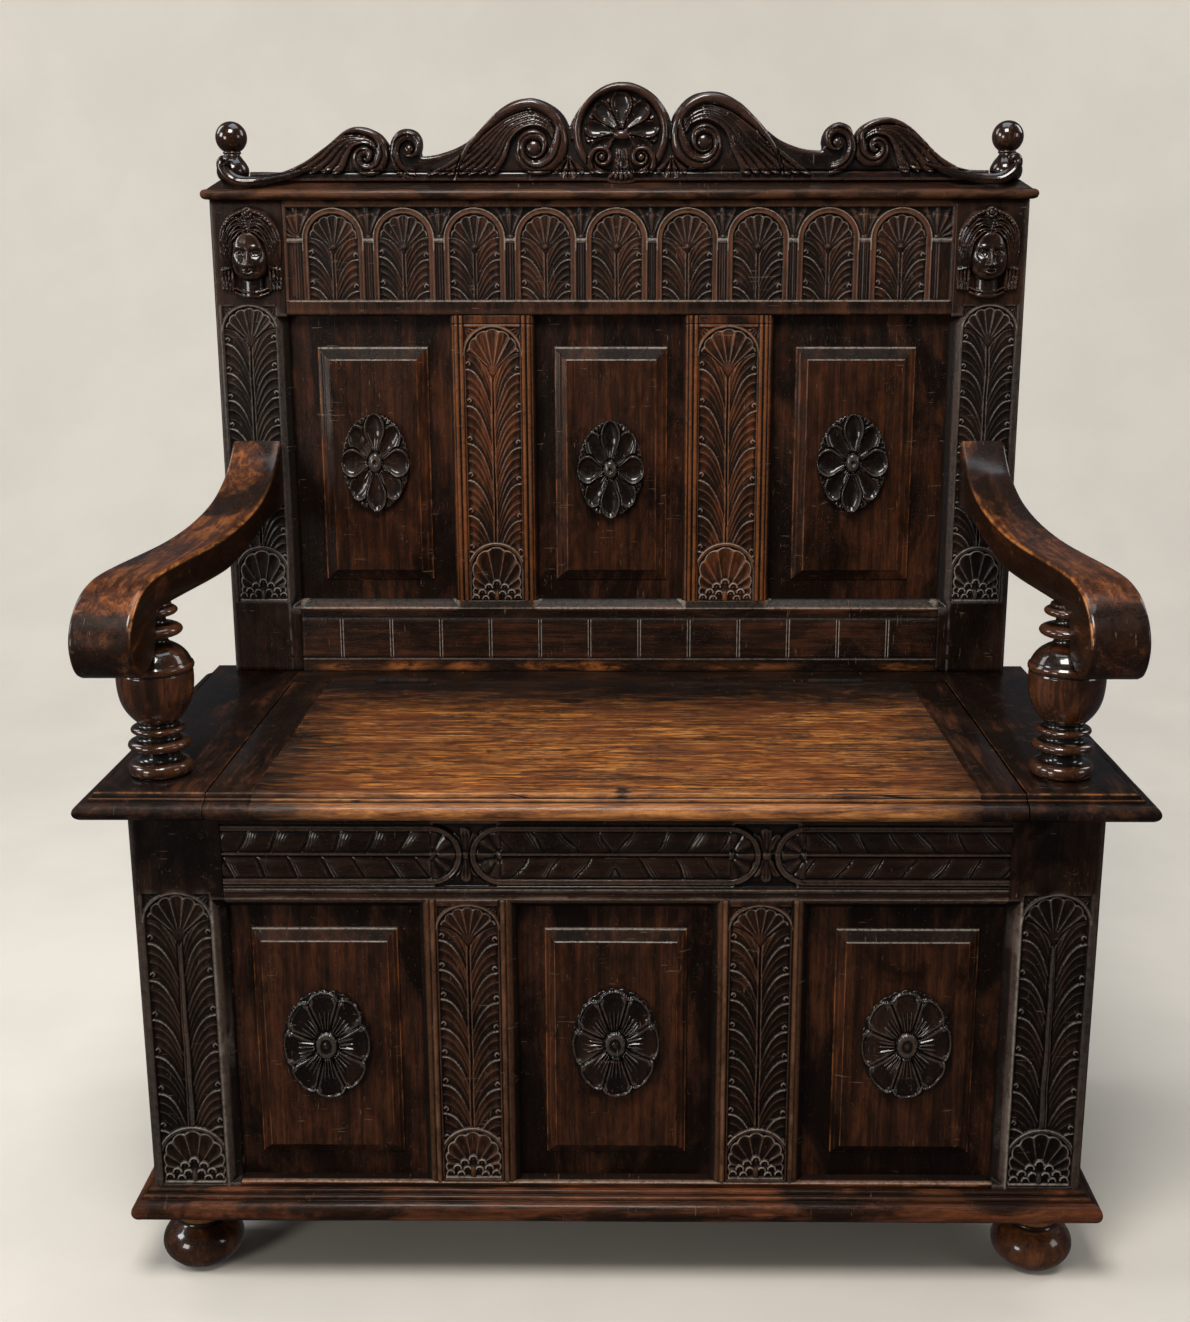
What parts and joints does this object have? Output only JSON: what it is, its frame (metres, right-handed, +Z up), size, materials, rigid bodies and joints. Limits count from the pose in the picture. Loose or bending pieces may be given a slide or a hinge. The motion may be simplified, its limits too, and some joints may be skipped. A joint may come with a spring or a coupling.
{
  "type": "settle bench",
  "caption": "Carved oak box settle with a hinged lid seat, panelled back with arcaded frieze and crest, scroll arms on turned supports and bun feet.",
  "frame": {"origin": "centre of the footprint, on the floor under the feet", "axes": "+X to the sitter's left as seen from the front, +Y to the back, +Z up"},
  "size_m": [0.9978, 0.528, 1.19],
  "materials": {
    "oak_frame": "dark oak framing, waxed, worn lighter at the edges",
    "oak_carved": "dark carved oak, polished high spots and dirt in the hollows",
    "oak_panel": "dark reddish-brown oak panels, waxed",
    "oak_seat": "dark worn oak seat boards, satin wax",
    "oak_lid": "worn honey-brown oak lid, polished by use",
    "oak_turned": "glossy brown turned and sawn oak, worn at the edges",
    "oak_plain": "plain unpolished oak of the back and the floor",
    "iron": "dark blacksmith's iron, dull"
  },
  "bodies": {
    "root": {"arm_left": "oak_turned", "arm_right": "oak_turned", "arm_support_left": "oak_turned", "arm_support_right": "oak_turned", "back_bottom_rail": "oak_frame", "back_feet": "oak_turned", "back_muntin_left": "oak_frame", "back_muntin_right": "oak_frame", "back_panel_centre": "oak_panel", "back_panel_left": "oak_panel", "back_panel_right": "oak_panel", "back_post_left": "oak_plain", "back_post_right": "oak_plain", "back_rosettes": "oak_carved", "base_moulding_front": "oak_frame", "base_moulding_left": "oak_frame", "base_moulding_right": "oak_frame", "bottom_board": "oak_plain", "cornice": "oak_carved", "crest": "oak_carved", "finials": "oak_turned", "frieze_rail": "oak_carved", "front_bottom_rail": "oak_frame", "front_feet": "oak_turned", "front_muntin_left": "oak_frame", "front_muntin_right": "oak_frame", "front_panel_centre": "oak_panel", "front_panel_left": "oak_panel", "front_panel_right": "oak_panel", "front_post_left": "oak_frame", "front_post_right": "oak_frame", "front_rosettes": "oak_carved", "front_top_rail": "oak_frame", "hinge_leaves_fixed": "iron", "hinge_pins": "iron", "hinge_rail": "oak_seat", "hinge_screws_fixed": "iron", "joint_pegs": "oak_frame", "mask_left": "oak_carved", "mask_right": "oak_carved", "rear_boards": "oak_plain", "rear_bottom_rail": "oak_plain", "rear_top_rail": "oak_plain", "seat_end_left": "oak_seat", "seat_end_right": "oak_seat", "side_bottom_rail_left": "oak_frame", "side_bottom_rail_right": "oak_frame", "side_panel_left": "oak_panel", "side_panel_right": "oak_panel", "side_top_rail_left": "oak_frame", "side_top_rail_right": "oak_frame", "upper_post_left": "oak_frame", "upper_post_right": "oak_frame"},
    "lid": {"lid_board": "oak_lid", "lid_clamp_left": "oak_lid", "lid_clamp_right": "oak_lid", "hinge_leaves_lid": "iron", "hinge_screws_lid": "iron"}
  },
  "joints": [
    {"name": "lid_hinge", "type": "hinge", "parent": "root", "child": "lid", "pos_m": [0, 0.18202, 0.5272], "axis": [-1, 0, 0], "range_deg": [0, 95]}
  ]
}
